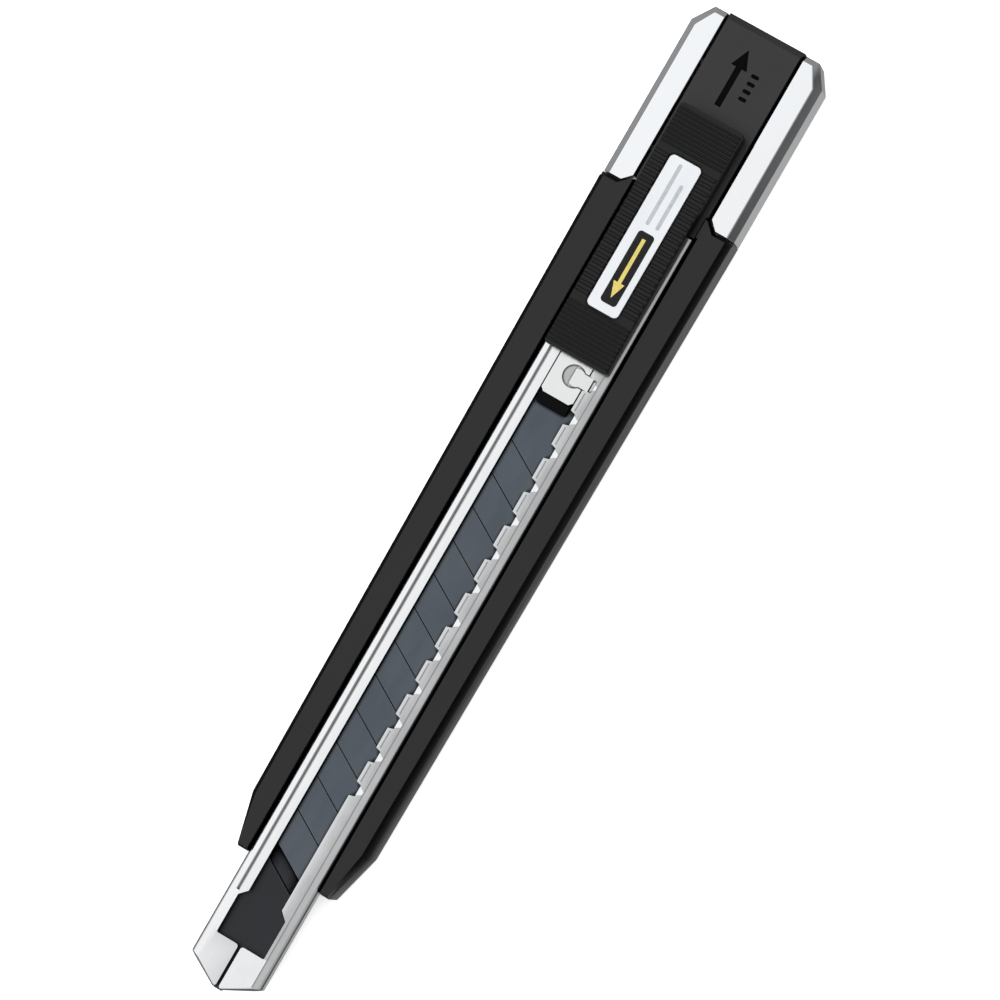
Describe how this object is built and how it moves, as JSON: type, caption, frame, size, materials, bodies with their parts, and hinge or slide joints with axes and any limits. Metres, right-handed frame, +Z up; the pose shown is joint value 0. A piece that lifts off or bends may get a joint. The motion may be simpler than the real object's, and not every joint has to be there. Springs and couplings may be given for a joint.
{
  "type": "snap off knife",
  "caption": "Slim utility knife with a scored snap-off blade in a notched steel sheath, ribbed locking thumb slider, black handle rails and a silver tail cap.",
  "frame": {"origin": "middle of the knife's bounding box, on the surface that its back rests on", "axes": "+X along the knife towards the blade tip, +Y towards the cutting edge, +Z up out of the thumb slider's face"},
  "size_m": [0.142, 0.0196, 0.0101],
  "materials": {
    "handle_black": "fine moulded satin",
    "cover_black": "fine moulded satin",
    "cap_black": "fine moulded satin",
    "button_black": "ribbed satin",
    "holder_black": "moulded satin",
    "guide_black": "moulded satin",
    "sheath_steel": "bright rolled sheet, fine lengthwise grain",
    "plate_steel": "bright stamped sheet",
    "pawl_steel": "bright stamped spring sheet",
    "spring_steel": "spring strip",
    "rivet_steel": "turned",
    "blade_steel": "dark ground carbon steel with an oiled sheen",
    "spare_steel": "dark ground carbon steel",
    "cap_silver": "bright silver plating",
    "label_print": "printed white plate"
  },
  "bodies": {
    "root": {"handle_body": "handle_black", "back_cover": "cover_black", "blade_sheath": "sheath_steel", "nose_guide": "guide_black", "magazine_spring": "spring_steel", "spare_blade_1": "spare_steel", "spare_blade_2": "spare_steel"},
    "carrier": {"blade": "blade_steel", "blade_holder": "holder_black", "carrier_plate": "plate_steel", "carrier_rivet_front": "rivet_steel", "carrier_rivet_rear": "rivet_steel", "pawl_spring": "spring_steel"},
    "thumb": {"slider_button": "button_black", "slider_label": "label_print"},
    "pawl": {"lock_pawl": "pawl_steel"},
    "tail_cap": {"tail_core": "cap_black", "cheek_left": "cap_silver", "cheek_right": "cap_silver"}
  },
  "joints": [
    {"name": "blade_slide", "type": "slide", "parent": "root", "child": "carrier", "axis": [1, 0, 0], "range_m": [0, 0.06]},
    {"name": "thumb_release", "type": "slide", "parent": "carrier", "child": "thumb", "axis": [1, 0, 0], "range_m": [0, 0.0008], "stiffness_N_per_m": 1200},
    {"name": "pawl_release", "type": "slide", "parent": "carrier", "child": "pawl", "axis": [0, -1, 0], "range_m": [0, 0.0008], "deforming": ["pawl_spring"]},
    {"name": "cap_slide", "type": "slide", "parent": "root", "child": "tail_cap", "axis": [-1, 0, 0], "range_m": [0, 0.03]}
  ],
  "couplings": [
    {"joint": "pawl_release", "follows": "thumb_release", "ratio": 1}
  ]
}
